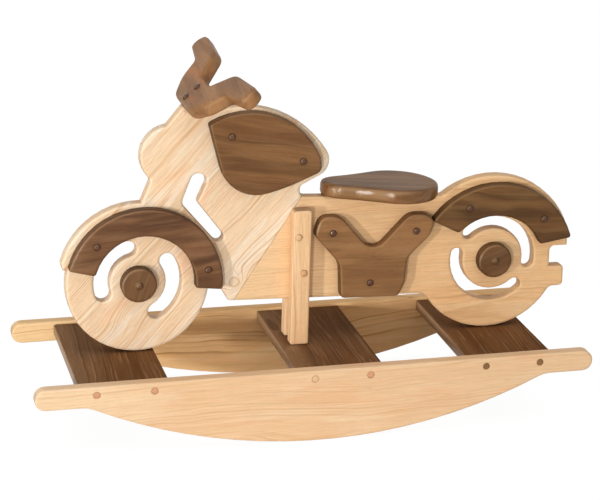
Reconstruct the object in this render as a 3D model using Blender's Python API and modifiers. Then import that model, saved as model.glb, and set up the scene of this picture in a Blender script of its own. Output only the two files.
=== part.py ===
"""Wooden rocking motorcycle. Metres, +Z up, front wheel towards -X, rider's left towards -Y.

The origin lies on the floor under the middle of the whole toy, a little behind the middle of its rockers.
"""
from math import acos, asin, atan2, ceil, cos, degrees, pi, radians, sin, sqrt, tan

import bmesh
import bpy
from mathutils import Matrix, Vector

# Fits and fineness
TOUCH = 0.0003                  # gap between pieces that bear on each other
WELD = 0.00001                  # points closer than this are one point
CHORD = 0.0003                  # largest distance from a round outline to its chords
FLAT = 0.05                     # degrees, faces that lean less than this are one face

# Rockers
ROCKER_LENGTH = 1.000
ROCKER_SPREAD = 0.374           # over both outer faces
ROCKER_THICKNESS = 0.025
ROCKER_TOP = 0.1305
ROCKER_RADIUS = 0.950           # rocking arc
ROCKER_EDGE = 0.0035
HANDLE_HEIGHT = 0.038           # straight grips at the ends
HANDLE_FILLET = 0.050           # from a grip into the arc

# Cross slats
SLAT_THICKNESS = 0.020
SLAT_WIDTH = 0.158
SLAT_DROP = 0.0051              # slat tops below the rocker tops
SLAT_EDGE = 0.003
SLAT_X = {"front": -0.344, "middle": 0.0387, "rear": 0.3503}

# Plugs that cover the screws through the rockers
PLUG_RADIUS = 0.006
PLUG_LENGTH = 0.010
PLUG_SPREAD = 0.100             # between the two plugs of a slat end
PLUG_CLEARANCE = 0.0003

# Flat body. Heights from here on count from the lowest point of the wheels.
BODY_THICKNESS = 0.025
BODY_EDGE = 0.005
UNDERSIDE = 0.0789              # at x = 0
UNDERSIDE_SLOPE = 1.7           # degrees, down to the rear
UNDERSIDE_FILLET = 0.020        # into the rear wheel
CHAMFER_X = -0.130              # foot of the short slope behind the front wheel
CORNER = 0.006

FRONT_X = -0.2934
FRONT_RADIUS = 0.1285
RIM_OVERHANG = 0.016            # board left standing round the front wheel
RIM_SHIFT = (0.0034, 0.0015)
RIM_TIP = 163.5                 # degrees, where the rim stops at the front
RIM_TIP_TURN = 5.1              # degrees from there to its lower corner
RIM_TIP_IN = 0.0057
RIM_END_DROP = 0.016            # its rear end below the axle

REAR_X = 0.3562
REAR_RADIUS = 0.1364
REAR_HUB_SHIFT = (0.0063, -0.0044)      # hub and slots, from the middle of the wheel's edge
HUMP_OVERHANG = 0.0184          # board left standing over the rear wheel
HUMP_SHIFT = (0.0028, -0.0012)
STEM_IN = 0.0183                # inside the wheel's edge, behind the axle
STUB_OUT = 0.0149               # past the wheel's edge
STUB_RISE = 0.0113              # its underside above the wheel's middle
STUB_FILLET = 0.008
EXHAUST_OUT = 0.0096            # past the wheel's edge
EXHAUST_TOP_DROP = 0.0259       # below the wheel's middle
EXHAUST_HEIGHT = 0.0405
EXHAUST_CORNER = 0.008
EXHAUST_FILLET = 0.012          # from the exhaust into the wheel

DECK_HEIGHT = 0.2699            # under the seat, at x = 0
DECK_SLOPE = 2.8                # degrees, down to the rear
NOTCH_X = 0.000                 # bottom of the notch between deck and tank
NOTCH_HEIGHT = 0.0185
NOTCH_FILLET = 0.0085

TANK_CENTRE = (-0.109, 0.2555)
TANK_RADIUS = 0.184
TANK_NOSE = 31.0                # degrees, where the round back of the tank ends
TANK_NOSE_REACH = 0.0342        # from there to the sharp corner
TANK_NOSE_RADIUS = 0.034
TANK_NECK = 97.5                # degrees, where the neck leaves the tank

NECK_SEAT = (-0.1769, 0.4466)   # middle of the sloping face that carries the handlebar
NECK_SLOPE = 40.0               # degrees, up to the rear
NECK_BACK = 0.029               # along the slope, from the middle
LIP_THICKNESS = 0.0045
LIP_HEIGHT = 0.0195

LAMP_CENTRE = (-0.2323, 0.356)
LAMP_RADIUS = 0.0547
LAMP_TOP = 97.0                 # degrees, where the round lamp leaves the neck
LAMP_FOOT = 228.5               # and the fork
LAMP_FILLET = 0.008
FORK_SLOPE = 247.2              # degrees, run of the fork's front edge

FORK_SLOT = (                   # bent slot, corners and their radii
    (-0.1930, 0.3215, 0.0135),
    (-0.2140, 0.2682, 0.0140),
    (-0.1501, 0.1924, 0.0090),
    (-0.1362, 0.2034, 0.0090),
    (-0.1863, 0.2698, 0.0060),
    (-0.1620, 0.3215, 0.0135),
)

SEAM_TOP_X = 0.0025             # glue line of the two boards, at the deck
SEAM_SLOPE = 56.6               # degrees

# Curved slots through the wheels: middle radius, width, and the angles that their ends reach
FRONT_SLOT_RADIUS = 0.0646
FRONT_SLOT_WIDTH = 0.0272
FRONT_SLOTS = ((92.0, 208.0), (-72.0, 46.5))    # degrees
REAR_SLOT_RADIUS = 0.0687
REAR_SLOT_WIDTH = 0.0210
REAR_SLOTS = ((-17.5, 141.0), (161.0, 319.5))   # degrees

# Dark panels on both faces
PANEL_THICKNESS = 0.019
PANEL_EDGE = 0.0045
PANEL_CORNER = 0.005

FRONT_PANEL_SHIFT = (0.0109, -0.001)    # from the front axle
FRONT_PANEL_IN = 0.0385                 # inner edge inside the wheel's
FRONT_PANEL_OUT = 0.011                 # outer edge outside the wheel's
FRONT_PANEL_ENDS = (-6.7, 165.8)        # degrees
FRONT_PANEL_BUTTONS = (11.5, 138.0)     # degrees

REAR_PANEL_OUTER_SHIFT = (0.0076, -0.0092)
REAR_PANEL_INNER_SHIFT = (0.0042, -0.0143)
REAR_PANEL_IN = 0.0411
REAR_PANEL_OUT = 0.0134
REAR_PANEL_OUTER_ENDS = (15.8, 144.3)   # degrees
REAR_PANEL_INNER_ENDS = (22.5, 135.5)   # degrees
REAR_PANEL_BUTTONS = (42.5, 115.3)      # degrees

TANK_PANEL_ARC = (-0.0974, 0.2917)
TANK_PANEL_RADIUS = 0.1405
TANK_PANEL_ENDS = (22.0, 120.0)         # degrees
TANK_PANEL_CORNERS = (
    (-0.1302, 0.2649, 0.0703),
    (-0.0300, 0.2918, 0.1500),
    (0.0365, 0.3190, 0.0140),
)
TANK_PANEL_BUTTONS = ((-0.128, 0.3905), (0.000, 0.3395))

ENGINE_PANEL_CORNERS = (        # from the rear wheel's middle, heights from the wheels' foot
    (-0.3332, 0.2010, 0.0140),
    (-0.3237, 0.2350, 0.0200),
    (-0.2867, 0.2355, 0.0400),
    (-0.2250, 0.1617, 0.0255),
    (-0.1575, 0.2316, 0.0300),
    (-0.1292, 0.2295, 0.0250),
    (-0.1105, 0.2165, 0.0110),
    (-0.1185, 0.1885, 0.0300),
    (-0.1600, 0.1490, 0.0260),
    (-0.1640, 0.1025, 0.0400),
    (-0.1762, 0.0768, 0.0080),
    (-0.2842, 0.0798, 0.0090),
    (-0.2865, 0.1455, 0.0300),
)
ENGINE_PANEL_BUTTONS = ((-0.3002, 0.2040), (-0.1457, 0.1990), (-0.2300, 0.1065))

HUB_RADIUS = 0.032
HUB_EDGE = 0.005
HUB_STEPS = 28

# Posts from the middle slat up both faces
POST_FRONT_X = -0.0218
POST_WIDTH = 0.0333
POST_THICKNESS = 0.025
POST_DROP = 0.0190              # its top below the deck
POST_LEAN = 1.1                 # degrees, top towards the rear
POST_EDGE = 0.003
POST_CORNER = 0.006
POST_BUTTONS = ((0.0099, 0.0489), (0.0212, 0.1159))     # from the post's front edge, below its top

# Handlebar: plan of one half, (along the slope, sideways, corner radius)
BAR_THICKNESS = 0.025
BAR_EDGE = 0.0055
BAR_FRONT = 0.027
BAR_HALF = (
    (-BAR_FRONT, 0.0600, 0.060),
    (0.0020, 0.1105, 0.060),
    (0.0395, 0.1345, 0.022),
    (0.0520, 0.2220, 0.014),
    (0.0870, 0.2220, 0.023),
    (0.0775, 0.0895, 0.050),
    (0.0310, 0.0382, 0.014),
)
BAR_BUTTON_SPREAD = 0.026

# Seat: plan of two circles with hollow flanks, nose to the front
SEAT_THICKNESS = 0.025
SEAT_EDGE = 0.006
SEAT_NOSE_X = 0.078
SEAT_NOSE_RADIUS = 0.038
SEAT_BACK_X = 0.180
SEAT_BACK_RADIUS = 0.0755
SEAT_FLANK_RADIUS = 0.450

# Wood buttons over the screws
BUTTON_RADIUS = 0.00625
BUTTON_HEIGHT = 0.004
BUTTON_WALL = 0.0012            # straight foot below the dome
BUTTON_STEPS = 12
BUTTON_RINGS = 2

WOODS = {                       # colour, roughness
    "pale_board": ((0.80, 0.62, 0.42), 0.50),
    "pale_rocker": ((0.82, 0.62, 0.43), 0.50),
    "dark_panel": ((0.155, 0.075, 0.036), 0.45),
    "dark_slat": ((0.145, 0.070, 0.034), 0.50),
    "dark_seat": ((0.170, 0.100, 0.060), 0.30),
    "dark_button": ((0.110, 0.045, 0.022), 0.35),
    "pale_button": ((0.78, 0.58, 0.37), 0.40),
}

SIDES = (("left", -1), ("right", 1))


def start_clean():
    """Remove what the scene holds and make the two collections."""
    for thing in list(bpy.data.objects):
        bpy.data.objects.remove(thing)
    groups = []
    for name in ("rocking_motorcycle", "cutters"):
        group = bpy.data.collections.new(name)
        bpy.context.scene.collection.children.link(group)
        groups.append(group)
    return groups


def make_woods():
    """One Principled material for each kind of wood."""
    woods = {}
    for name, (colour, roughness) in WOODS.items():
        wood = bpy.data.materials.new(name)
        wood.use_nodes = True
        shader = wood.node_tree.nodes["Principled BSDF"]
        shader.inputs["Base Color"].default_value = (*colour, 1.0)
        shader.inputs["Roughness"].default_value = roughness
        shader.inputs["Metallic"].default_value = 0.0
        woods[name] = wood
    return woods


def arc(centre, radius, start, end):
    """Points of an arc between two angles in degrees, both ends included."""
    count = max(1, ceil(radians(abs(end - start)) / (2 * acos(1 - CHORD / radius))))
    points = []
    for i in range(count + 1):
        angle = radians(start + (end - start) * i / count)
        points.append((centre[0] + radius * cos(angle), centre[1] + radius * sin(angle)))
    return points


def polar(centre, radius, angle):
    """The point at an angle in degrees on a circle."""
    return (centre[0] + radius * cos(radians(angle)), centre[1] + radius * sin(radians(angle)))


def bearing(centre, point):
    """Angle in degrees from a centre to a point."""
    return degrees(atan2(point[1] - centre[1], point[0] - centre[0]))


def run_to_circle(point, angle, centre, radius):
    """Where a line that leaves a point at an angle first meets a circle."""
    direction = Vector((cos(radians(angle)), sin(radians(angle))))
    offset = Vector(centre) - Vector(point)
    middle = offset.dot(direction)
    half = sqrt(radius ** 2 - (offset.length_squared - middle ** 2))
    first = middle - half if middle > half else middle + half
    return tuple(Vector(point) + first * direction)


def rounded(path):
    """Closed outline of (x, z) points and (x, z, radius) corners, each corner turned into its arc."""
    count = len(path)
    corner = [Vector(p[:2]) for p in path]
    wanted = [p[2] if len(p) == 3 else 0.0 for p in path]
    slope, reach = [], []
    for i in range(count):
        back = (corner[i - 1] - corner[i]).normalized()
        ahead = (corner[(i + 1) % count] - corner[i]).normalized()
        half = acos(max(-1.0, min(1.0, back.dot(ahead)))) / 2
        slope.append((back, ahead, half))
        reach.append(wanted[i] / tan(half) if wanted[i] else 0.0)
    for i in range(count):
        j = (i + 1) % count
        room = (corner[j] - corner[i]).length * 0.99
        asked = reach[i] + reach[j]
        if asked > room:
            reach[i] *= room / asked
            reach[j] *= room / asked
    outline = []
    for i in range(count):
        back, ahead, half = slope[i]
        if reach[i] < WELD:
            outline.append(tuple(corner[i]))
            continue
        radius = reach[i] * tan(half)
        centre = corner[i] + (back + ahead).normalized() * (radius / sin(half))
        start = bearing(centre, corner[i] + back * reach[i])
        turn = bearing(centre, corner[i] + ahead * reach[i]) - start
        turn = (turn + 180.0) % 360.0 - 180.0
        outline += arc(centre, radius, start, start + turn)
    return outline


def curved_slot(centre, radius, width, start, end):
    """Outline of a slot along an arc, with round ends inside the two angles."""
    cap = degrees(asin(width / 2 / radius))
    start, end = start + cap, end - cap
    return (arc(centre, radius + width / 2, start, end)
            + arc(polar(centre, radius, end), width / 2, end, end + 180.0)[1:-1]
            + arc(centre, radius - width / 2, end, start)
            + arc(polar(centre, radius, start), width / 2, start + 180.0, start + 360.0)[1:-1])


def ring_part(outer, outer_radius, outer_ends, inner, inner_radius, inner_ends, corner):
    """Outline of part of a ring with rounded corners, its two arcs on their own centres."""
    back = degrees((corner + 0.001) / outer_radius)
    fore = degrees((corner + 0.001) / inner_radius)
    path = [(*polar(outer, outer_radius, outer_ends[0]), corner)]
    path += arc(outer, outer_radius, outer_ends[0] + back, outer_ends[1] - back)
    path.append((*polar(outer, outer_radius, outer_ends[1]), corner))
    path.append((*polar(inner, inner_radius, inner_ends[1]), corner))
    path += arc(inner, inner_radius, inner_ends[1] - fore, inner_ends[0] + fore)
    path.append((*polar(inner, inner_radius, inner_ends[0]), corner))
    return rounded(path)


def board_mesh(name, loops, thickness, edge):
    """A flat board about z = 0, the first loop its outline and the others holes, edges rounded over."""
    curve = bpy.data.curves.new(name, "CURVE")
    curve.dimensions = "2D"
    curve.fill_mode = "BOTH"
    curve.extrude = thickness / 2 - edge
    curve.bevel_depth = edge
    curve.bevel_resolution = 1
    curve.offset = -edge
    for loop in loops:
        spline = curve.splines.new("POLY")
        spline.points.add(len(loop) - 1)
        for point, place in zip(spline.points, loop):
            point.co = (place[0], place[1], 0.0, 1.0)
        spline.use_cyclic_u = True
    guide = bpy.data.objects.new(name, curve)
    bpy.context.scene.collection.objects.link(guide)
    bpy.context.view_layer.update()
    graph = bpy.context.evaluated_depsgraph_get()
    mesh = bpy.data.meshes.new_from_object(guide.evaluated_get(graph))
    bpy.data.objects.remove(guide)
    bpy.data.curves.remove(curve)
    mesh.name = name
    work = bmesh.new()
    work.from_mesh(mesh)
    bmesh.ops.remove_doubles(work, verts=work.verts, dist=WELD)
    bmesh.ops.dissolve_limit(work, angle_limit=radians(FLAT), verts=work.verts, edges=work.edges)
    bmesh.ops.recalc_face_normals(work, faces=work.faces)
    work.to_mesh(mesh)
    work.free()
    return mesh


def panel_mesh(name, outline, thickness, edge, side):
    """The outer half of a rounded board twice as thick: a panel with a square back at z = 0."""
    mesh = board_mesh(name, [outline], 2 * thickness, edge)
    work = bmesh.new()
    work.from_mesh(mesh)
    everything = work.verts[:] + work.edges[:] + work.faces[:]
    cut = bmesh.ops.bisect_plane(work, geom=everything, plane_co=(0, 0, 0), plane_no=(0, 0, -side),
                                 clear_inner=True)
    rim = [item for item in cut["geom_cut"] if isinstance(item, bmesh.types.BMEdge)]
    bmesh.ops.contextual_create(work, geom=rim)
    bmesh.ops.recalc_face_normals(work, faces=work.faces)
    work.to_mesh(mesh)
    work.free()
    return mesh


def block_mesh(name, size, edge):
    """A box about its centre with its edges rounded over."""
    mesh = bpy.data.meshes.new(name)
    work = bmesh.new()
    bmesh.ops.create_cube(work, size=1.0, matrix=Matrix.Diagonal((*size, 1.0)))
    bmesh.ops.bevel(work, geom=work.edges[:], offset=edge, segments=2, profile=0.5, affect="EDGES")
    work.to_mesh(mesh)
    work.free()
    return mesh


def turned_mesh(name, profile):
    """Half profile of a turned piece, from the middle of its top down its outer side."""
    mesh = bpy.data.meshes.new(name)
    mesh.from_pydata([(radius, 0.0, height) for radius, height in profile],
                     [(i, i + 1) for i in range(len(profile) - 1)], [])
    return mesh


def place(name, mesh, wood, location, rotation, group, parent):
    """A named piece at its place."""
    piece = bpy.data.objects.new(name, mesh)
    piece.location = location
    piece.rotation_euler = rotation
    piece.parent = parent
    group.objects.link(piece)
    if not mesh.materials:
        mesh.materials.append(wood)
    mesh.shade_smooth()
    mesh.set_sharp_from_angle(angle=radians(35.0))
    return piece


def turn(piece, steps):
    """Sweep the piece's profile round its own z axis."""
    screw = piece.modifiers.new("turned", "SCREW")
    screw.axis = "Z"
    screw.angle = 2 * pi
    screw.steps = steps
    screw.render_steps = steps
    screw.use_merge_vertices = True
    screw.merge_threshold = WELD
    screw.use_smooth_shade = True


def cut(piece, cutter, solver="EXACT"):
    """Take the cutter's shape out of the piece."""
    boolean = piece.modifiers.new("cut", "BOOLEAN")
    boolean.operation = "DIFFERENCE"
    boolean.solver = solver
    boolean.object = cutter


def hide_cutter(cutter):
    """Keep a cutter out of the model."""
    cutter.hide_render = True
    cutter.display_type = "WIRE"


def rocker_outline():
    """Side view of a rocker: two straight grips joined by the rocking arc."""
    half = ROCKER_LENGTH / 2
    grip_low = ROCKER_TOP - HANDLE_HEIGHT
    foot = ROCKER_RADIUS + HANDLE_FILLET
    rise = ROCKER_RADIUS - grip_low + HANDLE_FILLET
    lean = degrees(asin(rise / foot))                # of the line through both centres
    reach = foot * cos(radians(lean))
    sweep = radians(180.0 - 2 * lean)
    count = 2 * ceil(sweep / (4 * acos(1 - CHORD / ROCKER_RADIUS))) + 1
    middle = ROCKER_RADIUS * cos(sweep / count / 2)  # the lowest chord lies on the floor
    low = []
    for i in range(count + 1):
        angle = -pi / 2 + sweep * (i / count - 0.5)
        low.append((ROCKER_RADIUS * cos(angle), middle + ROCKER_RADIUS * sin(angle)))
    fillet_z = grip_low - HANDLE_FILLET
    front = arc((-reach, fillet_z), HANDLE_FILLET, 90.0, lean)[:-1]
    back = arc((reach, fillet_z), HANDLE_FILLET, 180.0 - lean, 90.0)[1:]
    end = HANDLE_HEIGHT / 2
    return rounded(front + low + back + [(half, grip_low, end), (half, ROCKER_TOP, end),
                                         (-half, ROCKER_TOP, end), (-half, grip_low, end)])


def neck_point(along, above):
    """A point by its distance along the handlebar's sloping seat and above it."""
    lean = radians(NECK_SLOPE)
    return (NECK_SEAT[0] + along * cos(lean) - above * sin(lean),
            NECK_SEAT[1] + along * sin(lean) + above * cos(lean))


def deck_height(x):
    """Height of the sloping deck."""
    return DECK_HEIGHT - x * tan(radians(DECK_SLOPE))


def underside_height(x):
    """Height of the body's straight underside."""
    return UNDERSIDE - x * tan(radians(UNDERSIDE_SLOPE))


def body_outline():
    """Side view of the whole body, anticlockwise from the foot of the slope behind the front wheel."""
    front = (FRONT_X, FRONT_RADIUS)
    rear = (REAR_X, REAR_RADIUS)
    rim = (front[0] + RIM_SHIFT[0], front[1] + RIM_SHIFT[1])
    rim_radius = FRONT_RADIUS + RIM_OVERHANG
    hump = (rear[0] + HUMP_SHIFT[0], rear[1] + HUMP_SHIFT[1])
    hump_radius = REAR_RADIUS + HUMP_OVERHANG

    exhaust_top = rear[1] - EXHAUST_TOP_DROP
    exhaust_low = exhaust_top - EXHAUST_HEIGHT
    fillet_z = exhaust_low - EXHAUST_FILLET
    lean = degrees(asin((fillet_z - rear[1]) / (REAR_RADIUS + EXHAUST_FILLET)))
    fillet = polar(rear, REAR_RADIUS + EXHAUST_FILLET, lean)
    below = polar((0.0, UNDERSIDE), UNDERSIDE_FILLET, -90.0 - UNDERSIDE_SLOPE)
    nook = run_to_circle(below, -UNDERSIDE_SLOPE, rear, REAR_RADIUS + UNDERSIDE_FILLET)
    path = [(CHAMFER_X, underside_height(CHAMFER_X), CORNER)]
    path += arc(nook, UNDERSIDE_FILLET, 90.0 - UNDERSIDE_SLOPE, bearing(nook, rear))
    path += arc(rear, REAR_RADIUS, bearing(rear, nook) % 360.0, 360.0 + lean)[1:]
    path += arc(fillet, EXHAUST_FILLET, 180.0 + lean, 90.0)[1:]

    stub_z = rear[1] + STUB_RISE
    edge_x = rear[0] + REAR_RADIUS
    path += [(edge_x + EXHAUST_OUT, exhaust_low, EXHAUST_CORNER),
             (edge_x + EXHAUST_OUT, exhaust_top, EXHAUST_CORNER),
             (edge_x - STEM_IN, exhaust_top),
             (edge_x - STEM_IN, stub_z, STUB_FILLET),
             (edge_x + STUB_OUT, stub_z)]

    notch_low = (NOTCH_X, deck_height(NOTCH_X))
    back_end = run_to_circle(notch_low, -DECK_SLOPE, hump, hump_radius)
    hump_start = degrees(acos((edge_x + STUB_OUT - hump[0]) / hump_radius))
    path += arc(hump, hump_radius, hump_start, bearing(hump, back_end))

    path += [(*notch_low, NOTCH_FILLET), (NOTCH_X, notch_low[1] + NOTCH_HEIGHT, NOTCH_FILLET)]
    nose = polar(TANK_CENTRE, TANK_RADIUS, TANK_NOSE)
    path.append((*polar(nose, TANK_NOSE_REACH, TANK_NOSE - 90.0), TANK_NOSE_RADIUS))
    path += arc(TANK_CENTRE, TANK_RADIUS, TANK_NOSE, TANK_NECK)

    lamp_step = degrees((LAMP_FILLET + 0.001) / LAMP_RADIUS)
    path += [neck_point(NECK_BACK, LIP_HEIGHT),
             neck_point(-BAR_FRONT - TOUCH - LIP_THICKNESS, LIP_HEIGHT),
             (*polar(LAMP_CENTRE, LAMP_RADIUS, LAMP_TOP), LAMP_FILLET)]
    path += arc(LAMP_CENTRE, LAMP_RADIUS, LAMP_TOP + lamp_step, LAMP_FOOT - lamp_step)
    fork_top = polar(LAMP_CENTRE, LAMP_RADIUS, LAMP_FOOT)
    fork_foot = run_to_circle(fork_top, FORK_SLOPE, rim, rim_radius)
    path.append((*fork_top, LAMP_FILLET))

    path += arc(rim, rim_radius, bearing(rim, fork_foot), RIM_TIP)
    tip = polar(rim, rim_radius - RIM_TIP_IN, RIM_TIP + RIM_TIP_TURN)
    path.append((*tip, CORNER))
    wheel_start = 180.0 - degrees(asin((tip[1] - front[1]) / FRONT_RADIUS))
    wheel_end = 360.0 - degrees(asin(RIM_END_DROP / FRONT_RADIUS))
    path += arc(front, FRONT_RADIUS, wheel_start, wheel_end)
    rim_end_z = front[1] - RIM_END_DROP
    rim_end = -degrees(asin((rim[1] - rim_end_z) / rim_radius))
    path.append(polar(rim, rim_radius, rim_end))
    return rounded(path)


def body_holes():
    """The slots that go right through the body."""
    holes = [rounded(FORK_SLOT)]
    for start, end in FRONT_SLOTS:
        holes.append(curved_slot((FRONT_X, FRONT_RADIUS), FRONT_SLOT_RADIUS, FRONT_SLOT_WIDTH, start, end))
    hub = (REAR_X + REAR_HUB_SHIFT[0], REAR_RADIUS + REAR_HUB_SHIFT[1])
    for start, end in REAR_SLOTS:
        holes.append(curved_slot(hub, REAR_SLOT_RADIUS, REAR_SLOT_WIDTH, start, end))
    return holes


def seam_cutters():
    """Outlines that cover the body ahead of the glue line and behind it, each half a gap past it."""
    lean = radians(SEAM_SLOPE)
    top = Vector((SEAM_TOP_X, deck_height(SEAM_TOP_X)))
    along = Vector((cos(lean), sin(lean)))
    across = Vector((sin(lean), -cos(lean)))
    far = ROCKER_LENGTH
    turn_z = top[1] + NOTCH_HEIGHT / 2
    bend = top + along * ((turn_z - top[1]) / along[1])
    clear_x = (TANK_CENTRE[0] + TANK_RADIUS + REAR_X - REAR_RADIUS) / 2
    outlines = []
    for way in (-1, 1):
        shift = across * (-way * TOUCH / 2)
        foot = top + shift - along * (top[1] + BODY_THICKNESS) / along[1]
        outlines.append([tuple(foot), tuple(bend + shift), (clear_x, turn_z), (clear_x, far),
                         (way * far, far), (way * far, foot[1])])
    return outlines


def engine_outline():
    """Y-shaped panel between the wheels."""
    return rounded([(REAR_X + x, z, radius) for x, z, radius in ENGINE_PANEL_CORNERS])


def tank_panel_outline():
    """Teardrop panel on the tank, the round top closed by three corners below."""
    step = degrees((PANEL_CORNER + 0.001) / TANK_PANEL_RADIUS)
    start, end = TANK_PANEL_ENDS
    path = arc(TANK_PANEL_ARC, TANK_PANEL_RADIUS, start, end - step)
    path.append((*polar(TANK_PANEL_ARC, TANK_PANEL_RADIUS, end), PANEL_CORNER))
    return rounded(path + list(TANK_PANEL_CORNERS))


def seat_outline():
    """Plan of the seat, symmetric about y = 0."""
    span = SEAT_BACK_X - SEAT_NOSE_X
    near = SEAT_NOSE_RADIUS + SEAT_FLANK_RADIUS
    far = SEAT_BACK_RADIUS + SEAT_FLANK_RADIUS
    x = (span ** 2 + near ** 2 - far ** 2) / (2 * span)
    y = sqrt(near ** 2 - x ** 2)
    flank = (SEAT_NOSE_X + x, y)
    nose, back = (SEAT_NOSE_X, 0.0), (SEAT_BACK_X, 0.0)
    at_nose, at_back = bearing(nose, flank), bearing(back, flank)
    upper = (arc(back, SEAT_BACK_RADIUS, 0.0, at_back)
             + arc(flank, SEAT_FLANK_RADIUS, at_back - 180.0, at_nose - 180.0)[1:]
             + arc(nose, SEAT_NOSE_RADIUS, at_nose, 180.0)[1:])
    return upper + [(u, -v) for u, v in reversed(upper[1:-1])]


def bar_outline():
    """Plan of the handlebar, both horns."""
    return rounded([(u, v, r) for u, v, r in BAR_HALF] + [(u, -v, r) for u, v, r in reversed(BAR_HALF)])


def dome(radius, height, wall, rings):
    """Half profile of a domed button with a short straight foot."""
    points = []
    for i in range(rings + 1):
        angle = pi / 2 * (1 - i / rings)
        points.append((radius * cos(angle), wall + (height - wall) * sin(angle)))
    return points


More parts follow.
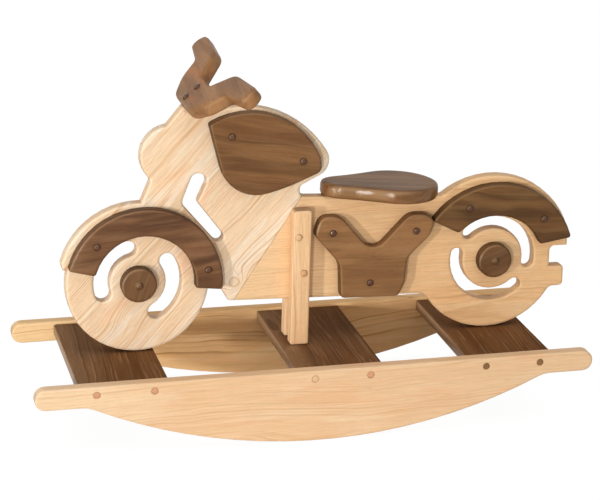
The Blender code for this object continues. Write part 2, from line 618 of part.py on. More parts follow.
def build():
    """Make every piece."""
    parts, cutters = start_clean()
    woods = make_woods()
    root = bpy.data.objects.new("rocking_motorcycle", None)
    parts.objects.link(root)
    upright = (pi / 2, 0.0, 0.0)
    level = (0.0, 0.0, 0.0)

    slat_top = ROCKER_TOP - SLAT_DROP
    slat_length = ROCKER_SPREAD - 2 * ROCKER_THICKNESS - 2 * TOUCH
    slat_z = slat_top - SLAT_THICKNESS / 2
    for where, x in SLAT_X.items():
        mesh = block_mesh("slat_" + where, (SLAT_WIDTH, slat_length, SLAT_THICKNESS), SLAT_EDGE)
        place("slat_" + where, mesh, woods["dark_slat"], (x, 0.0, slat_z), level, parts, root)

    plug_x = [x + way * PLUG_SPREAD / 2 for x in SLAT_X.values() for way in (-1, 1)]
    for side, way in SIDES:
        outer = way * ROCKER_SPREAD / 2
        mesh = board_mesh("rocker_" + side, [rocker_outline()], ROCKER_THICKNESS, ROCKER_EDGE)
        rocker = place("rocker_" + side, mesh, woods["pale_rocker"],
                       (0.0, outer - way * ROCKER_THICKNESS / 2, 0.0), upright, parts, root)
        bore = bpy.data.meshes.new("plug_bores_" + side)
        work = bmesh.new()
        depth = 2 * (PLUG_LENGTH + TOUCH)
        for x in plug_x:
            spot = Matrix.Translation((x, outer, slat_z)) @ Matrix.Rotation(pi / 2, 4, "X")
            radius = PLUG_RADIUS + PLUG_CLEARANCE
            bmesh.ops.create_cone(work, cap_ends=True, segments=16, radius1=radius, radius2=radius,
                                  depth=depth, matrix=spot)
        work.to_mesh(bore)
        work.free()
        bores = bpy.data.objects.new("plug_bores_" + side, bore)
        cutters.objects.link(bores)
        bores.parent = root
        hide_cutter(bores)
        cut(rocker, bores, "MANIFOLD")
        plug = bpy.data.meshes.new("plug_" + side)
        work = bmesh.new()
        bmesh.ops.create_cone(work, cap_ends=True, segments=16, radius1=PLUG_RADIUS, radius2=PLUG_RADIUS,
                              depth=PLUG_LENGTH)
        work.to_mesh(plug)
        work.free()
        for i, x in enumerate(plug_x):
            place("plug_{}_{}".format(side, i + 1), plug, woods["pale_button"],
                  (x, outer - way * PLUG_LENGTH / 2, slat_z), upright, parts, root)

    base = slat_top + TOUCH
    holes = body_holes()
    outline = body_outline()
    ahead, behind = seam_cutters()
    seat_lean = radians(NECK_SLOPE)
    for name, loop in (("body_rear_board", ahead), ("body_front_board", behind)):
        cutter_mesh = board_mesh(name + "_side", [loop], 2 * BODY_THICKNESS, 0.0)
        cutter = bpy.data.objects.new(name + "_side", cutter_mesh)
        cutter.location = (0.0, 0.0, base)
        cutter.rotation_euler = upright
        cutter.parent = root
        cutters.objects.link(cutter)
        hide_cutter(cutter)
        mesh = board_mesh(name, [outline] + holes, BODY_THICKNESS, BODY_EDGE)
        board = place(name, mesh, woods["pale_board"], (0.0, 0.0, base), upright, parts, root)
        cut(board, cutter)
        if name == "body_front_board":
            pocket_mesh = bpy.data.meshes.new("handlebar_pocket")
            work = bmesh.new()
            length, height = 2 * (BAR_FRONT + NECK_BACK), 2 * LIP_HEIGHT
            bmesh.ops.create_cube(work, size=1.0,
                                  matrix=Matrix.Diagonal((length, 2 * BODY_THICKNESS, height, 1.0)))
            work.to_mesh(pocket_mesh)
            work.free()
            pocket = bpy.data.objects.new("handlebar_pocket", pocket_mesh)
            x, z = neck_point(length / 2 - BAR_FRONT - TOUCH, height / 2)
            pocket.location = (x, 0.0, base + z)
            pocket.rotation_euler = (0.0, -seat_lean, 0.0)
            pocket.parent = root
            cutters.objects.link(pocket)
            hide_cutter(pocket)
            cut(board, pocket)

    front, rear = (FRONT_X, FRONT_RADIUS), (REAR_X, REAR_RADIUS)
    front_centre = (front[0] + FRONT_PANEL_SHIFT[0], front[1] + FRONT_PANEL_SHIFT[1])
    front_in, front_out = FRONT_RADIUS - FRONT_PANEL_IN, FRONT_RADIUS + FRONT_PANEL_OUT
    rear_outer = (rear[0] + REAR_PANEL_OUTER_SHIFT[0], rear[1] + REAR_PANEL_OUTER_SHIFT[1])
    rear_inner = (rear[0] + REAR_PANEL_INNER_SHIFT[0], rear[1] + REAR_PANEL_INNER_SHIFT[1])
    rear_in, rear_out = REAR_RADIUS - REAR_PANEL_IN, REAR_RADIUS + REAR_PANEL_OUT
    rear_middle = ((rear_outer[0] + rear_inner[0]) / 2, (rear_outer[1] + rear_inner[1]) / 2)
    panels = {
        "front_fender": (
            ring_part(front_centre, front_out, FRONT_PANEL_ENDS, front_centre, front_in,
                      FRONT_PANEL_ENDS, PANEL_CORNER),
            [polar(front_centre, (front_in + front_out) / 2, a) for a in FRONT_PANEL_BUTTONS]),
        "rear_fender": (
            ring_part(rear_outer, rear_out, REAR_PANEL_OUTER_ENDS, rear_inner, rear_in,
                      REAR_PANEL_INNER_ENDS, PANEL_CORNER),
            [polar(rear_middle, (rear_in + rear_out) / 2, a) for a in REAR_PANEL_BUTTONS]),
        "tank_panel": (tank_panel_outline(), TANK_PANEL_BUTTONS),
        "engine_panel": (engine_outline(), [(REAR_X + x, z) for x, z in ENGINE_PANEL_BUTTONS]),
    }
    rear_end = max([rear[0] + REAR_RADIUS + STUB_OUT] + [x for x, z in panels["rear_fender"][0]])
    root.location.x = -(rear_end - ROCKER_LENGTH / 2) / 2
    rear_hub = (rear[0] + REAR_HUB_SHIFT[0], rear[1] + REAR_HUB_SHIFT[1])

    button = turned_mesh("button", dome(BUTTON_RADIUS, BUTTON_HEIGHT, BUTTON_WALL, BUTTON_RINGS)
                         + [(BUTTON_RADIUS, 0.0), (0.0, 0.0)])
    pale_button = button.copy()

    def add_button(name, location, rotation, pale=False):
        piece = place(name, pale_button if pale else button, woods["pale_button" if pale else "dark_button"],
                      location, rotation, parts, root)
        turn(piece, BUTTON_STEPS)

    hub_profile = dome(BUTTON_RADIUS, BUTTON_HEIGHT, BUTTON_WALL, BUTTON_RINGS) + [(BUTTON_RADIUS, 0.0)]
    hub_profile = [(radius, PANEL_THICKNESS + height) for radius, height in hub_profile]
    hub_profile += arc((HUB_RADIUS - HUB_EDGE, PANEL_THICKNESS - HUB_EDGE), HUB_EDGE, 90.0, 0.0)
    hub_profile += [(HUB_RADIUS, 0.0), (0.0, 0.0)]
    hub_mesh = turned_mesh("hub", hub_profile)

    for side, way in SIDES:
        out = (-way * pi / 2, 0.0, 0.0)
        face = way * (BODY_THICKNESS / 2 + TOUCH)
        crown = face + way * (PANEL_THICKNESS + TOUCH)
        for kind, (loop, spots) in panels.items():
            mesh = panel_mesh(kind + "_" + side, loop, PANEL_THICKNESS, PANEL_EDGE, way)
            place(kind + "_" + side, mesh, woods["dark_panel"], (0.0, face, base), upright, parts, root)
            for i, (x, z) in enumerate(spots):
                add_button("button_{}_{}_{}".format(kind, side, i + 1), (x, crown, base + z), out)
        for wheel, (x, z) in (("front", front), ("rear", rear_hub)):
            hub = place("{}_hub_{}".format(wheel, side), hub_mesh, woods["dark_panel"],
                        (x, face, base + z), out, parts, root)
            turn(hub, HUB_STEPS)
        post_top = DECK_HEIGHT - POST_DROP
        lean = tan(radians(POST_LEAN))
        post_loop = rounded([(0.0, 0.0, POST_EDGE), (POST_WIDTH, 0.0, POST_EDGE),
                             (POST_WIDTH + post_top * lean, post_top, POST_CORNER),
                             (post_top * lean, post_top, POST_CORNER)])
        mesh = board_mesh("post_" + side, [post_loop], POST_THICKNESS, POST_EDGE)
        place("post_" + side, mesh, woods["pale_board"],
              (POST_FRONT_X, face + way * POST_THICKNESS / 2, base), upright, parts, root)
        for i, (x, z) in enumerate(POST_BUTTONS):
            add_button("button_post_{}_{}".format(side, i + 1),
                       (POST_FRONT_X + x + (post_top - z) * lean, face + way * (POST_THICKNESS + TOUCH),
                        base + post_top - z),
                       out, pale=True)

    mesh = board_mesh("seat", [seat_outline()], SEAT_THICKNESS, SEAT_EDGE)
    lift = (SEAT_THICKNESS / 2 + TOUCH) / cos(radians(DECK_SLOPE))
    place("seat", mesh, woods["dark_seat"], (0.0, 0.0, base + DECK_HEIGHT + lift),
          (0.0, radians(DECK_SLOPE), 0.0), parts, root)

    mesh = board_mesh("handlebar", [bar_outline()], BAR_THICKNESS, BAR_EDGE)
    x, z = neck_point(0.0, TOUCH + BAR_THICKNESS / 2)
    place("handlebar", mesh, woods["dark_seat"], (x, 0.0, base + z), (0.0, -seat_lean, 0.0), parts, root)
    for i, way in enumerate((-1, 1)):
        x, z = neck_point(way * BAR_BUTTON_SPREAD / 2, BAR_THICKNESS + 2 * TOUCH)
        add_button("button_handlebar_{}".format(i + 1), (x, 0.0, base + z), (0.0, -seat_lean, 0.0))


build()
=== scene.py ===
"""Wooden rocking motorcycle: wood, light and camera. Metres, +Z up, front wheel towards -X."""
from math import cos, radians, sin

import bpy
from mathutils import Euler, Matrix, Vector

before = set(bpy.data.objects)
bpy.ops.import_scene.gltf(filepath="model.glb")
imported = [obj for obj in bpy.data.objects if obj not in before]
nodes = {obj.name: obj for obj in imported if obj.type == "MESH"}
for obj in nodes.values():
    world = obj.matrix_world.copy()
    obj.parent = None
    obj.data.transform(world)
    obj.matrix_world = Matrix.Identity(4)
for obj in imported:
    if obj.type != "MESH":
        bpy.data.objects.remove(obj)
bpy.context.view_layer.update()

SIDES = ("left", "right")
WHITE = (1.0, 1.0, 1.0, 1.0)
MIDDLE = 0.5                    # of a noise's range

# Camera
CAMERA_PLACE = (-0.8963, -3.7051, 1.4898)
CAMERA_YAW = 13.595             # degrees from +Y towards +X
CAMERA_PITCH = 17.442           # down
CAMERA_ROLL = 0.623
CAMERA_LENS = 133.62            # mm
CAMERA_SENSOR = 36.0            # mm
CAMERA_REACH = 100.0

# Light
SKY = 0.38                      # what the sky gives the object, 1 is white
FLOOR_REACH = 15.0
FLOOR_DROP = 0.0002             # gap under the rockers
FLOOR_LIGHTNESS = 0.78
FLOOR_SHOWN = 0.10              # how much of its light and shadow the floor shows to the camera
FLOOR_GLOW = 0.955              # plain white that is added to it there
LAMP_AIM = (0.0, 0.0, 0.28)
# Lamps: degrees from the near side towards the front wheel, degrees up, distance, width, watts
LAMPS = {
    "left": (53.0, 0.8, 5.0, 0.20, 91.0),
    "front": (26.0, 0.8, 5.0, 0.28, 71.0),
    "wide": (0.0, 70.0, 4.5, 4.0, 62.0),
    "back": (165.0, 3.0, 5.0, 1.0, 62.0),
}
UNREFLECTED_LAMP = "back"       # lights the far side and shows in no gloss

# Round marks on the near face of the front board: place (x, z), size, bulge of the rings round it, darkness
KNOT = ((-0.1237, 0.2449), 0.019, 0.032, 0.50)
PIN_HOLE = ((-0.2108, 0.5611), 0.0032, 0.0, 0.8)
SWIRL = ((-0.3450, 0.1550), 0.045, 0.018, 0.0)
MARK_WAVE = (0.008, 0.0, 0.008)                 # how far the grain's waves push their outlines
MARK_RIM = ((0.70, 0.79), (0.84, 0.92))         # where the dark rim comes in and goes, 1 is the mark's middle
MARK_HEART = (0.70, 0.80)                       # where the space inside the rim comes in
MARK_HEART_SHARE = 0.35                         # its darkness beside the rim's
# Pale band along the grain of the front board: a point (x, z) on it, half its width, share
SAPWOOD = ((-0.0650, 0.3250), 0.016, 0.75)

# Fibres: scale of each noise along and across the grain, detail and roughness
BEND = ((2.2, 7.0, 7.0), 2.0, 0.45)
WAVE = ((14.0, 36.0, 36.0), 1.0, 0.50)
FIBRE = ((14.0, 420.0, 420.0), 3.0, 0.60)
BEND_SIZE = (0.0, 0.050, 0.050)                 # how far they push the grain aside
WAVE_SIZE = (0.0, 0.006, 0.006)

# Growth rings, as parts of one ring's width
LATE_WOOD = ((0.50, 0.88), (0.90, 1.0))         # dark, where it comes in and where it goes
EARLY_WOOD = ((0.0, 0.08), (0.10, 0.34))        # pale
RING_DRIFT = 0.21                               # how quickly their width changes
RING_DRIFT_DETAIL = 1.0
RING_CHANCE = 1.8                               # higher makes strong rings rarer
RING_WEAKEST = 0.15                             # how much the weakest ring shows
RING_FADED = 0.35                               # what is left of a ring where it fades

# Figure: scale along and across the grain, detail, roughness, and the levels between which it comes in.
# A minus sign takes another stretch of the same noise.
FIGURE = {
    "lasting": ((5.0, 45.0, 45.0), 1.0, 0.50, (0.36, 0.60)),
    "pores": ((60.0, 1300.0, 1300.0), 1.0, 0.50, (0.58, 0.70)),
    "bands": ((3.2, 34.0, 34.0), 3.0, 0.55, (0.38, 0.62)),
    "warm": ((6.0, 30.0, -30.0), 2.0, 0.50, (0.52, 0.68)),
    "cream": ((5.0, -34.0, 34.0), 2.0, 0.50, (0.50, 0.66)),
    "streaks": ((2.5, 200.0, 200.0), 2.0, 0.50, (0.56, 0.68)),
}

# Edges and sides, by how a surface turns: parts of its outward normal, between which the effect comes in
EDGE_TURN = (0.01, 0.20)                        # how far the rounded normal leaves the plain one
EDGE_LEAST = 0.5                                # darkening of an edge between the fibres, partly wear and partly painted shade
CORNER_TURN = ((0.50, 0.78), (0.93, 0.99))      # a round-over, between a board's side and its face
HIGHLIGHT_TURN = (0.08, 0.35)                     # up and forward, where the painted highlight comes in
HIGHLIGHT_WAY = 0.7                               # share of each of the two in the painted highlight's direction
BUTT_TURN = (0.55, 0.95)                        # along the grain
SHEEN_SIDE_TURN = (0.5, 0.9)                     # to the front or rear, for the painted sheen on a slat's long sides
FACE_TURN = (0.45, 0.97)                        # to the left or right
TOP_TURN = (0.70, 0.95)                         # up
CORNER_SHADE_REACH = 0.010                                    # how near another surface makes painted shade in a corner
CORNER_SHADE_SAMPLES = 4
BEVEL_SAMPLES = 6

# Finish
ROUGH_SPREAD = 0.16                             # change of roughness from fibre to fibre
ROUGH_EDGE = -0.05                              # and on an edge
RELIEF_PORES = -0.8                             # beside the fibres' height, which is 1
RELIEF_RINGS = 0.5
RELIEF_STRENGTH = 0.20
RELIEF_DEPTH = 0.0005


def tone(red, green, blue):
    """A colour given in display values from 0 to 255, by the sRGB curve."""
    linear = []
    for value in (red, green, blue):
        value /= 255.0
        linear.append(value / 12.92 if value <= 0.04045 else ((value + 0.055) / 1.055) ** 2.4)
    return (*linear, 1.0)


# Kinds of wood. The colours are light and, in bands and late wood, dark, with warm and cream patches; cream
# also colours the painted highlights, the painted sheen on slats' sides and the ends painted paler. ring is
# the mean width of a growth ring, uneven how much it varies, rings and lines how much late and early wood
# show, and bands, patches, streaks, fibre and pores how much these do. edge darkens sharp edges, partly as
# wear and partly as painted shade. The highlight setting paints a highlight on round-overs that face up and
# forward, end multiplies the colour of end grain, the wall setting multiplies the colour of a board's sides
# and tops, partly as their own tone and partly as painted shade and light, side paints a sheen on a slat's
# long sides, and the corner setting paints shade into corners. round is the radius of the edges' highlights,
# and top the share of the coat of lacquer that is left on top.
PALE = dict(
    light=tone(247, 214, 175), dark=tone(212, 158, 104), warm=tone(246, 190, 146),
    cream=tone(252, 234, 208), pore=tone(206, 152, 102), ring=0.0066, uneven=7.0, rings=1.0, lines=0.9,
    bands=0.12, patches=0.65, streaks=0.35, fibre=0.24, pores=0.25, edge=0.06, painted_highlight=0.35, end=0.72,
    wall=0.88, side=0.0, top=1.0, corner_shade=0.15, round=0.003, rough=0.50, gloss=0.10, coat=0.15,
    coat_rough=0.25)
STRAW = dict(
    PALE, light=tone(239, 192, 140), dark=tone(208, 155, 102), warm=tone(236, 181, 126),
    cream=tone(247, 210, 162), pore=tone(186, 134, 86), ring=0.0050, rings=0.65, lines=0.55, patches=0.50,
    streaks=0.30, fibre=0.20)
POST = dict(
    STRAW, light=tone(241, 197, 148), dark=tone(204, 150, 98), warm=tone(240, 184, 134),
    cream=tone(249, 215, 172), ring=0.0056, rings=0.90, lines=0.8, fibre=0.26, end=0.50, wall=1.0)
ROCKER = dict(
    PALE, light=tone(237, 197, 153), dark=tone(210, 160, 112), warm=tone(235, 180, 134),
    cream=tone(244, 213, 174), ring=0.0064, rings=0.60, lines=0.5, patches=0.45, streaks=0.25, fibre=0.16,
    wall=1.04, corner_shade=0.05)
# The far rocker: the rocker's wood with darker, stronger grain as painted shade on its inner face.
FAR_ROCKER_PAINTED_SHADE = dict(
    ROCKER, light=tone(242, 198, 143), dark=tone(186, 131, 70), warm=tone(236, 180, 118),
    cream=tone(248, 213, 163), ring=0.0085, rings=0.95, gloss=0.0, coat=0.08)
WALNUT = dict(
    light=tone(135, 93, 54), dark=tone(92, 60, 30), warm=tone(128, 82, 48), cream=tone(146, 108, 72),
    pore=tone(74, 46, 24), ring=0.0100, uneven=6.0, rings=0.40, lines=0.4, bands=0.75, patches=0.45,
    streaks=0.20, fibre=0.18, pores=0.25, edge=0.30, painted_highlight=0.85, end=0.66, wall=0.74, side=0.0, top=1.0,
    corner_shade=0.50, round=0.0045, rough=0.50, gloss=0.0, coat=0.40, coat_rough=0.24)
FENDER = dict(
    WALNUT, light=tone(119, 81, 51), dark=tone(80, 50, 29), warm=tone(124, 77, 48), cream=tone(150, 110, 76))
REAR_FENDER = dict(
    WALNUT, light=tone(115, 78, 40), dark=tone(74, 46, 19), warm=tone(110, 70, 34), cream=tone(136, 100, 60))
ENGINE = dict(
    WALNUT, light=tone(156, 111, 68), dark=tone(116, 78, 44), warm=tone(148, 97, 60),
    cream=tone(164, 124, 82), bands=0.60)
REAR_HUB = dict(
    REAR_FENDER, light=tone(116, 79, 44), dark=tone(80, 50, 22), warm=tone(112, 69, 36),
    cream=tone(152, 116, 80), bands=0.50, patches=0.15, streaks=0.10, lines=0.2)
HUB = dict(
    WALNUT, light=tone(124, 87, 54), dark=tone(88, 57, 30), warm=tone(118, 75, 44), cream=tone(160, 126, 92),
    bands=0.50, patches=0.15, streaks=0.10, lines=0.2)
SLAT = dict(
    WALNUT, light=tone(127, 87, 53), dark=tone(86, 54, 29), warm=tone(116, 67, 36), cream=tone(168, 132, 98),
    ring=0.0070, rings=0.55, lines=0.6, bands=0.45, patches=0.08, streaks=0.40, wall=1.0, side=0.90,
    top=0.08, end=1.0)
BAR = dict(
    WALNUT, light=tone(164, 116, 73), dark=tone(126, 88, 56), warm=tone(192, 120, 68),
    cream=tone(170, 130, 90), bands=0.80, rough=0.45, coat=0.28, coat_rough=0.16, edge=0.20, end=1.0,
    wall=1.0, round=0.007)
SEAT = dict(
    BAR, light=tone(136, 95, 54), dark=tone(102, 68, 36), warm=tone(144, 88, 52), cream=tone(160, 120, 80),
    top=0.72, coat=0.48, coat_rough=0.15, round=0.011)
DARK_BUTTON = dict(
    HUB, light=tone(92, 53, 30), dark=tone(64, 35, 18), warm=tone(92, 50, 27), bands=0.30, painted_highlight=0.45,
    coat=0.70, coat_rough=0.17, round=0.003)
PALE_BUTTON = dict(STRAW, light=tone(214, 162, 114), rings=0.30, coat=0.30)
PLUG = dict(POST, dark=tone(178, 120, 84), ring=0.0016, edge=0.0, corner_shade=0.0)
PLUG_COLOURS = {"red": tone(218, 160, 122), "tan": tone(229, 184, 140), "brown": tone(136, 98, 62)}
PLUG_ORDER = ("red", "red", "tan", "red", "brown", "brown")     # on a rocker, front to rear

# Ends painted paler, as painted light towards the lamps: full at the first x, gone at the second, and the
# share of the paler colour
REAR_BOARD_PAINTED_LIGHT = (-0.10, 0.20, 0.75)
ROCKER_PAINTED_LIGHT = (-0.44, -0.24, 0.60)
FENDER_PAINTED_LIGHT = (-0.44, -0.37, 0.8)

# Pieces in pairs: wood, grain in degrees up from +X, pith of the left one and end painted paler as painted
# light. The right one's pith is a metre further on.
PAIRS = {
    "post": (POST, 90, (0.4, 0.06, 0.03), None),
    "front_fender": (FENDER, 3, (0.5, 0.06, -0.30), FENDER_PAINTED_LIGHT),
    "rear_fender": (REAR_FENDER, -5, (1.5, 0.05, -0.40), None),
    "tank_panel": (WALNUT, -9, (2.5, 0.06, -0.47), None),
    "engine_panel": (ENGINE, -1, (3.5, 0.07, -0.22), None),
    "front_hub": (HUB, 70, (4.5, 0.07, 0.10), None),
    "rear_hub": (REAR_HUB, 25, (6.5, 0.07, 0.10), None),
}
ROCKERS = {                     # wood and pith
    "left": (ROCKER, (0.0, 0.225, 0.010)),
    "right": (FAR_ROCKER_PAINTED_SHADE, (1.7, -0.225, 0.010)),
}
SLATS = {                       # pith and forward edge painted paler as painted light
    "front": ((0.0, 0.344, -0.045), (-0.425, -0.335, 0.50)),
    "middle": ((0.7, -0.04, -0.045), (-0.044, 0.024, 0.55)),
    "rear": ((1.4, -0.35, -0.045), (0.268, 0.300, 0.15)),
}
COVER_PITH = (0.1, 0.05, 0.1)   # of the buttons and the plugs


def add_node(tree, kind, inputs=None, **settings):
    """A shader node with its settings, and its inputs as values or sockets."""
    made = tree.nodes.new(kind)
    for key, value in settings.items():
        setattr(made, key, value)
    for key, value in (inputs or {}).items():
        if isinstance(value, bpy.types.NodeSocket):
            tree.links.new(value, made.inputs[key])
        else:
            made.inputs[key].default_value = value
    return made


def empty_tree(thing):
    """The node tree of a new material or world, with nothing in it."""
    thing.use_nodes = True
    thing.node_tree.nodes.clear()
    return thing.node_tree


def compute(tree, operation, *values, clamp=False):
    """Result of a Math node."""
    made = add_node(tree, "ShaderNodeMath", dict(enumerate(values)), operation=operation, use_clamp=clamp)
    return made.outputs[0]


def times(tree, first, second, clamp=False):
    """Two values multiplied."""
    return compute(tree, "MULTIPLY", first, second, clamp=clamp)


def rest_of(tree, share):
    """What a share leaves of 1."""
    return compute(tree, "SUBTRACT", 1.0, share)


def fade(tree, share, target):
    """1 where the share is 0, and the target where it is 1."""
    return compute(tree, "MULTIPLY_ADD", share, target - 1.0, 1.0)


def vectors(tree, operation, *values):
    """Result of a Vector Math node, which is a number where the operation gives one."""
    made = add_node(tree, "ShaderNodeVectorMath", dict(enumerate(values)), operation=operation)
    return made.outputs["Value" if operation in ("LENGTH", "DISTANCE", "DOT_PRODUCT") else "Vector"]


def scaled(tree, vector, factors):
    """A vector multiplied part by part."""
    return vectors(tree, "MULTIPLY", vector, factors)


def split(tree, vector):
    """A vector's three parts."""
    return add_node(tree, "ShaderNodeSeparateXYZ", {0: vector}).outputs


def size_of(tree, value):
    """A value without its sign."""
    return compute(tree, "ABSOLUTE", value)


def noise(tree, vector, factors, detail, roughness):
    """Noise node on a stretched vector."""
    inputs = {"Vector": scaled(tree, vector, factors), "Scale": 1.0, "Detail": detail, "Roughness": roughness}
    return add_node(tree, "ShaderNodeTexNoise", inputs)


def centred(tree, made):
    """A noise node's colour as a vector round zero."""
    return vectors(tree, "SUBTRACT", made.outputs["Color"], (MIDDLE, MIDDLE, MIDDLE))


def grey(tree, value):
    """A value as a grey colour."""
    return add_node(tree, "ShaderNodeCombineColor", {0: value, 1: value, 2: value}).outputs[0]


def ramp(tree, value, low, high):
    """0 below low, 1 above high, smooth between."""
    inputs = {"Value": value, "From Min": low, "From Max": high}
    return add_node(tree, "ShaderNodeMapRange", inputs, interpolation_type="SMOOTHSTEP").outputs[0]


def hump(tree, value, rise, fall):
    """0 before the rise, 1 between the rise and the fall, 0 after it."""
    return times(tree, ramp(tree, value, *rise), rest_of(tree, ramp(tree, value, *fall)))


def bell(tree, distance):
    """1 at distance 0, and next to nothing from 2 on."""
    return compute(tree, "EXPONENT", times(tree, times(tree, distance, distance), -1.0))


def mix(tree, factor, first, second, blend="MIX"):
    """Two colours mixed. The node's sockets for colours come after those for numbers and vectors."""
    inputs = {0: factor, 6: first, 7: second}
    return add_node(tree, "ShaderNodeMix", inputs, data_type="RGBA", blend_type=blend).outputs[2]


def shaded(tree, colour, level):
    """A colour made darker or lighter."""
    return mix(tree, 1.0, colour, grey(tree, level), "MULTIPLY")


def figure(tree, name, vector):
    """How much of one part of the figure each point shows."""
    factors, detail, roughness, levels = FIGURE[name]
    return ramp(tree, noise(tree, vector, factors, detail, roughness).outputs["Fac"], *levels)


def grain_space(tree, spot, turned, pith):
    """The space with its fibres along X and the rings round that axis, its waves, and the bent space."""
    local = add_node(tree, "ShaderNodeMapping", {"Vector": spot, "Rotation": turned, "Location": pith},
                     vector_type="POINT").outputs[0]
    bend = centred(tree, noise(tree, local, *BEND))
    wave = centred(tree, noise(tree, local, *WAVE))
    bent = vectors(tree, "ADD", scaled(tree, bend, BEND_SIZE), local)
    bent = vectors(tree, "ADD", scaled(tree, wave, WAVE_SIZE), bent)
    return local, wave, bent


def sapwood(tree, bent, turned, pith, band):
    """How much each point is in a band along the grain."""
    (x, z), half_width, share = band
    centre = (Euler(turned).to_matrix() @ Vector((x, 0.0, z))).z + pith[2]
    away = compute(tree, "SUBTRACT", split(tree, bent)[2], centre)
    return times(tree, bell(tree, compute(tree, "DIVIDE", away, half_width)), share)


def round_marks(tree, spot, wave, radius, marks):
    """The rings' radius with a bulge at each mark, and how dark the marks are."""
    eyes = 0.0
    uneven = vectors(tree, "ADD", scaled(tree, wave, MARK_WAVE), spot)
    flat = scaled(tree, uneven, (1.0, 0.0, 1.0))
    for (x, z), size, bulge, share in marks:
        away = vectors(tree, "DISTANCE", flat, (x, 0.0, z))
        swell = bell(tree, compute(tree, "DIVIDE", away, size))
        radius = compute(tree, "MULTIPLY_ADD", swell, bulge, radius)
        heart = times(tree, ramp(tree, swell, *MARK_HEART), MARK_HEART_SHARE)
        eye = compute(tree, "MAXIMUM", hump(tree, swell, *MARK_RIM), heart)
        eyes = compute(tree, "MAXIMUM", eyes, times(tree, eye, share))
    return radius, eyes


def growth_rings(tree, wood, local, radius):
    """How much of a ring's dark late wood and pale early wood each point shows."""
    even = compute(tree, "DIVIDE", radius, wood["ring"])
    slow = {"W": times(tree, even, RING_DRIFT), "Scale": 1.0, "Detail": RING_DRIFT_DETAIL}
    drift = add_node(tree, "ShaderNodeTexNoise", slow, noise_dimensions="1D").outputs["Fac"]
    count = compute(tree, "MULTIPLY_ADD", drift, wood["uneven"], even)
    index = compute(tree, "FLOOR", count)
    part = compute(tree, "SUBTRACT", count, index)
    chance = add_node(tree, "ShaderNodeTexWhiteNoise", {"W": index}, noise_dimensions="1D").outputs["Value"]
    strength = compute(tree, "MULTIPLY_ADD", compute(tree, "POWER", chance, RING_CHANCE),
                       1.0 - RING_WEAKEST, RING_WEAKEST)
    lasting = compute(tree, "MULTIPLY_ADD", figure(tree, "lasting", local), 1.0 - RING_FADED, RING_FADED)
    strength = times(tree, strength, lasting)
    late = times(tree, times(tree, hump(tree, part, *LATE_WOOD), strength), wood["rings"], clamp=True)
    early = times(tree, times(tree, hump(tree, part, *EARLY_WOOD), strength), wood["lines"], clamp=True)
    return late, early


def edge_wear_shade_and_highlight(tree, wood, colour, soft, fibre):
    """The colour with darker sharp edges, partly wear and partly painted shade, a painted highlight on
    round-overs that face up and forward, and where the edges are.
    """
    plain = add_node(tree, "ShaderNodeNewGeometry").outputs["Normal"]
    # Sharp edges painted darker, partly as wear and partly as painted shade.
    edge = ramp(tree, rest_of(tree, vectors(tree, "DOT_PRODUCT", soft, plain)), *EDGE_TURN)
    edge_wear_and_shade = times(tree, edge, compute(tree, "MULTIPLY_ADD", fibre, wood["edge"], wood["edge"] * EDGE_LEAST))
    colour = mix(tree, edge_wear_and_shade, colour, wood["dark"])

    # Painted highlight: round-overs that face up and forward, towards the lamps, are painted paler.
    ways = split(tree, soft)
    corner = hump(tree, size_of(tree, ways[1]), *CORNER_TURN)
    towards = compute(tree, "MULTIPLY_ADD", ways[0], -HIGHLIGHT_WAY, times(tree, ways[2], HIGHLIGHT_WAY))
    highlight_mask = times(tree, corner, ramp(tree, towards, *HIGHLIGHT_TURN))
    return mix(tree, times(tree, highlight_mask, wood["painted_highlight"]), colour, wood["cream"]), edge


def toned_sides_with_painted_light(tree, wood, colour, outward, turned):
    """The colour with its end grain toned, a painted sheen on a slat's long sides, its sides and tops toned
    partly by their own wood and partly by painted shade and light, and painted shade in its corners.
    """
    along = add_node(tree, "ShaderNodeMapping", {"Vector": outward, "Rotation": turned}, vector_type="VECTOR")
    butt = ramp(tree, size_of(tree, split(tree, along.outputs[0])[0]), *BUTT_TURN)
    ways = split(tree, outward)
    # Painted sheen: a slat's long sides are painted paler, in place of their reflection.
    if wood["side"]:
        side_sheen = ramp(tree, size_of(tree, ways[0]), *SHEEN_SIDE_TURN)
        colour = mix(tree, times(tree, side_sheen, wood["side"]), colour, wood["cream"])
    # Sides and tops toned by the wall setting: partly their own tone, partly painted shade and light.
    flank_tone_and_shade = rest_of(tree, ramp(tree, size_of(tree, ways[1]), *FACE_TURN))
    # Painted shade in corners: the colour is darkened where other surfaces are near.
    corner_shade_node = add_node(tree, "ShaderNodeAmbientOcclusion", {"Distance": CORNER_SHADE_REACH}, samples=CORNER_SHADE_SAMPLES)
    level = times(tree, fade(tree, butt, wood["end"]), fade(tree, flank_tone_and_shade, wood["wall"]))
    level = times(tree, level, fade(tree, rest_of(tree, corner_shade_node.outputs["AO"]), 1.0 - wood["corner_shade"]))
    return shaded(tree, colour, level)


def lacquer(tree, wood, colour, rough, relief, soft, outward):
    """The surface of lacquered wood, with round edges in its highlights."""
    bump = add_node(tree, "ShaderNodeBump", {"Height": relief, "Normal": soft, "Strength": RELIEF_STRENGTH,
                                             "Distance": RELIEF_DEPTH}).outputs[0]
    coat = wood["coat"]
    if wood["top"] < 1.0:
        upward = ramp(tree, split(tree, outward)[2], *TOP_TURN)
        coat = compute(tree, "MULTIPLY_ADD", upward, coat * (wood["top"] - 1.0), coat)
    shader = add_node(tree, "ShaderNodeBsdfPrincipled", {
        "Base Color": colour, "Roughness": rough, "Normal": bump, "Coat Weight": coat, "Coat Normal": soft,
        "Coat Roughness": wood["coat_rough"], "Specular IOR Level": wood["gloss"]})
    add_node(tree, "ShaderNodeOutputMaterial", {"Surface": shader.outputs[0]})


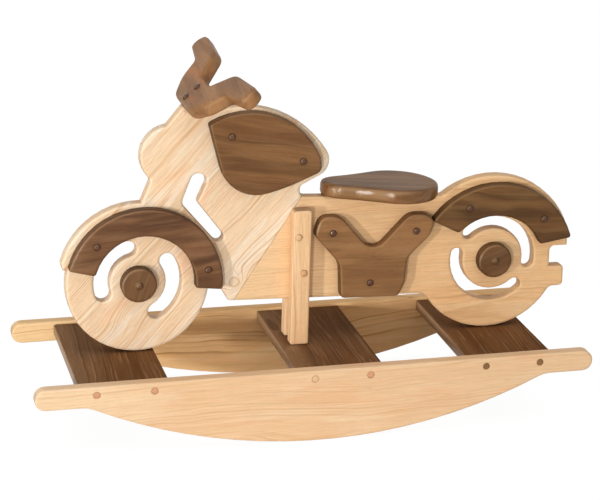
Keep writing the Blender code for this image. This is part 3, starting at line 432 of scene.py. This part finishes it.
def make_wood(name, wood, slope, pith, tilt=2.0, across=False, marks=(), band=None, painted_light_end=None):
    """One board's wood.

    The grain rises by slope degrees from +X, or lies along Y where it runs across, and tilt turns it a
    little about +Z. The pith is the piece's origin as seen from the centre line of the rings.
    """
    material = bpy.data.materials.new(name)
    tree = empty_tree(material)
    place = add_node(tree, "ShaderNodeTexCoord")
    spot = place.outputs["Object"]
    turned = (0.0, radians(slope), radians((-90 if across else 0) + tilt))
    local, wave, bent = grain_space(tree, spot, turned, pith)
    radius = vectors(tree, "LENGTH", scaled(tree, bent, (0.0, 1.0, 1.0)))
    if marks:
        radius, eyes = round_marks(tree, spot, wave, radius, marks)
    late, early = growth_rings(tree, wood, local, radius)
    fibre = noise(tree, local, *FIBRE).outputs["Fac"]
    pores = figure(tree, "pores", local)

    colour = mix(tree, times(tree, figure(tree, "bands", bent), wood["bands"]), wood["light"], wood["dark"])
    for part, strength, target in (("warm", "patches", "warm"), ("cream", "patches", "cream"),
                                   ("streaks", "streaks", "cream")):
        colour = mix(tree, times(tree, figure(tree, part, bent), wood[strength]), colour, wood[target])
    if band:
        colour = mix(tree, sapwood(tree, bent, turned, pith, band), colour, wood["cream"])
    # Painted light: the end towards the lamps is painted paler.
    if painted_light_end:
        full, gone, share = painted_light_end
        painted_light = times(tree, ramp(tree, split(tree, spot)[0], gone, full), share)
        colour = mix(tree, painted_light, colour, wood["cream"])
    colour = mix(tree, early, colour, wood["cream"])
    colour = mix(tree, late, colour, wood["dark"])
    if marks:
        colour = mix(tree, eyes, colour, wood["pore"])
    uneven = compute(tree, "SUBTRACT", fibre, MIDDLE)
    colour = shaded(tree, colour, compute(tree, "MULTIPLY_ADD", uneven, wood["fibre"] / MIDDLE, 1.0))
    colour = mix(tree, times(tree, pores, wood["pores"]), colour, wood["pore"])

    outward = place.outputs["Normal"]
    soft = add_node(tree, "ShaderNodeBevel", {"Radius": wood["round"]}, samples=BEVEL_SAMPLES).outputs[0]
    colour, edge = edge_wear_shade_and_highlight(tree, wood, colour, soft, fibre)
    colour = toned_sides_with_painted_light(tree, wood, colour, outward, turned)
    rough = compute(tree, "MULTIPLY_ADD", fibre, ROUGH_SPREAD, wood["rough"] - MIDDLE * ROUGH_SPREAD)
    rough = compute(tree, "MULTIPLY_ADD", edge, ROUGH_EDGE, rough)
    relief = compute(tree, "MULTIPLY_ADD", late, RELIEF_RINGS, fibre)
    relief = compute(tree, "MULTIPLY_ADD", pores, RELIEF_PORES, relief)
    lacquer(tree, wood, colour, rough, relief, soft, outward)
    return material


def dress(node, material):
    """Put one material on a piece."""
    mesh = nodes[node].data
    mesh.materials.clear()
    mesh.materials.append(material)


def dress_body():
    """The body's two boards, the seat and the handlebar."""
    dress("body_front_board", make_wood("wood_front_board", PALE, slope=47, pith=(0.3, 0.050, -0.20),
                                        tilt=3.0, marks=(KNOT, PIN_HOLE, SWIRL), band=SAPWOOD))
    dress("body_rear_board", make_wood("wood_rear_board", STRAW, slope=1, pith=(0.35, 0.060, -0.16), tilt=1.2,
                                       painted_light_end=REAR_BOARD_PAINTED_LIGHT))
    dress("seat", make_wood("wood_seat", SEAT, slope=0, pith=(0.2, 0.02, -0.35)))
    dress("handlebar", make_wood("wood_handlebar", BAR, slope=0, pith=(0.8, 0.16, -0.52), across=True))


def dress_pairs():
    """The panels, hubs and posts on both sides."""
    for piece, (wood, slope, (along, aside, up), painted_light_end) in PAIRS.items():
        for i, side in enumerate(SIDES):
            node = f"{piece}_{side}"
            dress(node, make_wood("wood_" + node, wood, slope, (along + i, aside, up), painted_light_end=painted_light_end))


def dress_base():
    """The rockers and the slats between them."""
    for side, (wood, pith) in ROCKERS.items():
        dress("rocker_" + side, make_wood("wood_rocker_" + side, wood, slope=1, pith=pith, tilt=1.0,
                                          painted_light_end=ROCKER_PAINTED_LIGHT))
    for where, (pith, painted_light_end) in SLATS.items():
        dress("slat_" + where, make_wood("wood_slat_" + where, SLAT, slope=0, pith=pith, across=True,
                                         painted_light_end=painted_light_end))


def dress_covers():
    """The buttons and the plugs."""
    dark_button = make_wood("wood_dark_button", DARK_BUTTON, slope=90, pith=COVER_PITH)
    pale_button = make_wood("wood_pale_button", PALE_BUTTON, slope=90, pith=COVER_PITH)
    plugs = {}
    for word, colour in PLUG_COLOURS.items():
        wood = dict(PLUG, light=colour, warm=colour, cream=colour)
        plugs[word] = make_wood("wood_plug_" + word, wood, slope=0, pith=COVER_PITH)
    for name in nodes:
        if name.startswith("plug_"):
            dress(name, plugs[PLUG_ORDER[int(name[-1]) - 1]])
        elif name.startswith("button_post"):
            dress(name, pale_button)
        elif name.startswith("button_"):
            dress(name, dark_button)


def make_camera():
    """The camera at the photograph's place."""
    yaw, pitch, roll = radians(CAMERA_YAW), radians(CAMERA_PITCH), radians(CAMERA_ROLL)
    ahead = Vector((sin(yaw) * cos(pitch), cos(yaw) * cos(pitch), -sin(pitch)))
    level = Vector((cos(yaw), -sin(yaw), 0.0))
    upward = level.cross(ahead)
    right = cos(roll) * level + sin(roll) * upward
    above = cos(roll) * upward - sin(roll) * level
    turn = Matrix((right, above, -ahead)).transposed().to_4x4()
    camera = bpy.data.objects.new("camera", bpy.data.cameras.new("camera"))
    camera.data.lens = CAMERA_LENS
    camera.data.sensor_width = CAMERA_SENSOR
    camera.data.sensor_fit = "HORIZONTAL"
    camera.data.clip_end = CAMERA_REACH
    camera.matrix_world = Matrix.Translation(CAMERA_PLACE) @ turn
    bpy.context.scene.collection.objects.link(camera)
    bpy.context.scene.camera = camera


def make_lamps():
    """Square soft lamps that face the toy."""
    for name, (left, up, distance, width, watts) in LAMPS.items():
        light = bpy.data.lights.new(name, "AREA")
        light.shape = "SQUARE"
        light.size = width
        light.energy = watts
        way = Vector((-sin(radians(left)) * cos(radians(up)), -cos(radians(left)) * cos(radians(up)),
                      sin(radians(up))))
        lamp = bpy.data.objects.new(name, light)
        lamp.location = Vector(LAMP_AIM) + distance * way
        lamp.rotation_euler = (-way).to_track_quat("-Z", "Y").to_euler()
        lamp.visible_glossy = name != UNREFLECTED_LAMP
        bpy.context.scene.collection.objects.link(lamp)


def shown(tree):
    """1 for the camera, reflections and what shows through glass, 0 for the light on the object."""
    path = add_node(tree, "ShaderNodeLightPath").outputs
    seen = compute(tree, "ADD", path["Is Camera Ray"], path["Is Glossy Ray"], clamp=True)
    return compute(tree, "ADD", seen, path["Is Transmission Ray"], clamp=True)


def make_sky():
    """A sky that is white where it shows, and dimmer as a light."""
    world = bpy.data.worlds.new("sky")
    bpy.context.scene.world = world
    tree = empty_tree(world)
    strength = compute(tree, "MULTIPLY_ADD", shown(tree), 1.0 - SKY, SKY)
    sky = add_node(tree, "ShaderNodeBackground", {"Color": WHITE, "Strength": strength})
    add_node(tree, "ShaderNodeOutputWorld", {"Surface": sky.outputs[0]})


def make_floor():
    """A pale floor that keeps a soft shadow."""
    mesh = bpy.data.meshes.new("floor")
    corners = [(-1, -1), (1, -1), (1, 1), (-1, 1)]
    mesh.from_pydata([(x * FLOOR_REACH, y * FLOOR_REACH, 0.0) for x, y in corners], [], [(0, 1, 2, 3)])
    floor = bpy.data.objects.new("floor", mesh)
    floor.location.z = -FLOOR_DROP
    bpy.context.scene.collection.objects.link(floor)

    material = bpy.data.materials.new("floor")
    tree = empty_tree(material)
    seen = shown(tree)
    lighting = (FLOOR_LIGHTNESS, FLOOR_LIGHTNESS, FLOOR_LIGHTNESS, 1.0)
    showing = (FLOOR_SHOWN, FLOOR_SHOWN, FLOOR_SHOWN, 1.0)
    matt = add_node(tree, "ShaderNodeBsdfDiffuse", {"Color": mix(tree, seen, lighting, showing)})
    glow = add_node(tree, "ShaderNodeEmission", {"Color": WHITE, "Strength": times(tree, seen, FLOOR_GLOW)})
    both = add_node(tree, "ShaderNodeAddShader", {0: matt.outputs[0], 1: glow.outputs[0]})
    add_node(tree, "ShaderNodeOutputMaterial", {"Surface": both.outputs[0]})
    mesh.materials.append(material)


dress_body()
dress_pairs()
dress_base()
dress_covers()
make_camera()
make_lamps()
make_sky()
make_floor()
bpy.context.scene.view_settings.view_transform = "Standard"
